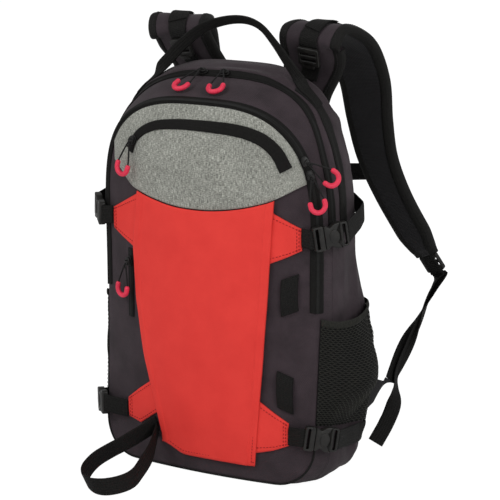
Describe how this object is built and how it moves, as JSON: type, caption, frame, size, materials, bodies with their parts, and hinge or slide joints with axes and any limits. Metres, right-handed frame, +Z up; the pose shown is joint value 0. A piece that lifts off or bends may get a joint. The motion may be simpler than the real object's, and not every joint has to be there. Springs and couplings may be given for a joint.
{
  "type": "ski backpack",
  "caption": "Panel-loading ski backpack with an arched main zip, goggle pocket, side mesh pockets, compression straps, padded shoulder straps and a ski loop.",
  "frame": {"origin": "middle of the base, on the surface that the pack stands on", "axes": "+Z up, -Y towards the front with the red panel, +Y towards the wearer, +X to the right seen from the front"},
  "size_m": [0.404, 0.4264, 0.5709],
  "materials": {
    "pack_cloth": "matte plain-woven polyester",
    "strap_cloth": "matte woven polyester over foam",
    "back_cloth": "matte padded mesh",
    "black_webbing": "matte woven webbing",
    "zip_tape": "matte tape with a nylon coil",
    "heather_cloth": "soft grey melange",
    "red_cloth": "matte coated cloth",
    "side_mesh": "open stretch mesh",
    "mesh_binding": "elastic binding",
    "frame_plastic": "plain sheet",
    "buckle_plastic": "fine moulded grain",
    "slider_metal": "black painted",
    "cord": "braided cord",
    "grip_rubber": "matte moulded"
  },
  "bodies": {
    "pack": {"back_panel": "back_cloth", "frame_sheet": "frame_plastic", "main_compartment": "pack_cloth", "front_compartment": "pack_cloth", "main_zip": "zip_tape", "front_zip": "zip_tape", "goggle_pocket": "heather_cloth", "goggle_zip": "zip_tape", "stash_zip": "zip_tape", "front_panel": "red_cloth", "panel_wings": "red_cloth", "tool_loops": "black_webbing", "mesh_pocket_left": "side_mesh", "mesh_pocket_right": "side_mesh", "pocket_bindings": "mesh_binding", "seam_tape": "black_webbing", "shoulder_strap_left": "strap_cloth", "shoulder_strap_right": "strap_cloth", "lifter_webbing": "black_webbing", "lifter_locks": "buckle_plastic", "strap_lock_left": "buckle_plastic", "strap_lock_right": "buckle_plastic", "load_webbing_left": "black_webbing", "load_webbing_right": "black_webbing", "anchor_fins": "back_cloth", "sternum_strap_right": "black_webbing", "sternum_female": "buckle_plastic", "ski_loop": "black_webbing", "compression_straps": "black_webbing", "buckle_females": "buckle_plastic"},
    "main_left_slider": {"main_slider_left": "slider_metal"},
    "main_left_pull": {"main_cord_left": "cord", "main_grip_left": "grip_rubber"},
    "main_right_slider": {"main_slider_right": "slider_metal"},
    "main_right_pull": {"main_cord_right": "cord", "main_grip_right": "grip_rubber"},
    "front_upper_slider": {"front_slider_upper": "slider_metal"},
    "front_upper_pull": {"front_cord_upper": "cord", "front_grip_upper": "grip_rubber"},
    "front_lower_slider": {"front_slider_lower": "slider_metal"},
    "front_lower_pull": {"front_cord_lower": "cord", "front_grip_lower": "grip_rubber"},
    "goggle_slider": {"goggle_slider": "slider_metal"},
    "goggle_pull": {"goggle_cord": "cord", "goggle_grip": "grip_rubber"},
    "stash_slider": {"stash_slider": "slider_metal"},
    "stash_pull": {"stash_cord": "cord", "stash_grip": "grip_rubber"},
    "buckle_upper_left": {"buckle_male_upper_left": "buckle_plastic", "buckle_tab_upper_left": "black_webbing"},
    "buckle_upper_right": {"buckle_male_upper_right": "buckle_plastic", "buckle_tab_upper_right": "black_webbing"},
    "buckle_lower_left": {"buckle_male_lower_left": "buckle_plastic", "buckle_tab_lower_left": "black_webbing"},
    "buckle_lower_right": {"buckle_male_lower_right": "buckle_plastic", "buckle_tab_lower_right": "black_webbing"},
    "sternum_half": {"sternum_male": "buckle_plastic", "sternum_strap_left": "black_webbing"},
    "handle": {"grab_handle": "black_webbing"}
  },
  "joints": [
    {"name": "main_left_slide", "type": "slide", "parent": "pack", "child": "main_left_slider", "axis": [-0.9993, 0.0056, -0.0364], "range_m": [0, 0.03]},
    {"name": "main_right_slide", "type": "slide", "parent": "pack", "child": "main_right_slider", "axis": [1, 0.0013, -0.0009], "range_m": [0, 0.03]},
    {"name": "front_upper_slide", "type": "slide", "parent": "pack", "child": "front_upper_slider", "axis": [-0.4496, -0.1438, 0.8816], "range_m": [0, 0.015]},
    {"name": "front_lower_slide", "type": "slide", "parent": "pack", "child": "front_lower_slider", "axis": [0.3156, 0.1302, -0.9399], "range_m": [0, 0.008]},
    {"name": "goggle_slide", "type": "slide", "parent": "pack", "child": "goggle_slider", "axis": [0.5445, -0.0445, 0.8376], "range_m": [0, 0.012]},
    {"name": "stash_slide", "type": "slide", "parent": "pack", "child": "stash_slider", "axis": [0, 0, -1], "range_m": [0, 0.06]},
    {"name": "main_left_pull_hinge", "type": "hinge", "parent": "main_left_slider", "child": "main_left_pull", "pos_m": [-0.02733, -0.01487, 0.50385], "axis": [-0.9499, 0.2771, 0.1446], "range_deg": [0, 75]},
    {"name": "main_right_pull_hinge", "type": "hinge", "parent": "main_right_slider", "child": "main_right_pull", "pos_m": [0.00401, -0.01496, 0.50419], "axis": [-0.9812, -0.1622, -0.1049], "range_deg": [0, 75]},
    {"name": "front_upper_pull_hinge", "type": "hinge", "parent": "front_upper_slider", "child": "front_upper_pull", "pos_m": [0.14006, -0.05901, 0.40974], "axis": [-0.3149, -0.4319, -0.8452], "range_deg": [0, 75]},
    {"name": "front_lower_pull_hinge", "type": "hinge", "parent": "front_lower_slider", "child": "front_lower_pull", "pos_m": [0.14712, -0.0564, 0.39306], "axis": [-0.7273, -0.6421, -0.2425], "range_deg": [0, 75]},
    {"name": "goggle_pull_hinge", "type": "hinge", "parent": "goggle_slider", "child": "goggle_pull", "pos_m": [-0.09447, -0.07566, 0.4179], "axis": [-0.9303, 0.2382, 0.2791], "range_deg": [0, 75]},
    {"name": "stash_pull_hinge", "type": "hinge", "parent": "stash_slider", "child": "stash_pull", "pos_m": [-0.10603, -0.07027, 0.262], "axis": [-0.9341, 0.3042, 0.1868], "range_deg": [0, 75]},
    {"name": "buckle_upper_left_release", "type": "slide", "parent": "pack", "child": "buckle_upper_left", "axis": [0.6737, -0.7224, -0.156], "range_m": [0, 0.02]},
    {"name": "buckle_upper_right_release", "type": "slide", "parent": "pack", "child": "buckle_upper_right", "axis": [-0.6737, -0.7224, -0.156], "range_m": [0, 0.02]},
    {"name": "buckle_lower_left_release", "type": "slide", "parent": "pack", "child": "buckle_lower_left", "axis": [0.6747, -0.7235, 0.1458], "range_m": [0, 0.02]},
    {"name": "buckle_lower_right_release", "type": "slide", "parent": "pack", "child": "buckle_lower_right", "axis": [-0.6747, -0.7235, 0.1458], "range_m": [0, 0.02]},
    {"name": "sternum_release", "type": "slide", "parent": "pack", "child": "sternum_half", "axis": [-1, 0, 0], "range_m": [0, 0.018]},
    {"name": "handle_swing", "type": "hinge", "parent": "pack", "child": "handle", "pos_m": [0, 0.004, 0.4904], "axis": [1, 0, 0], "range_deg": [-15, 60]}
  ]
}
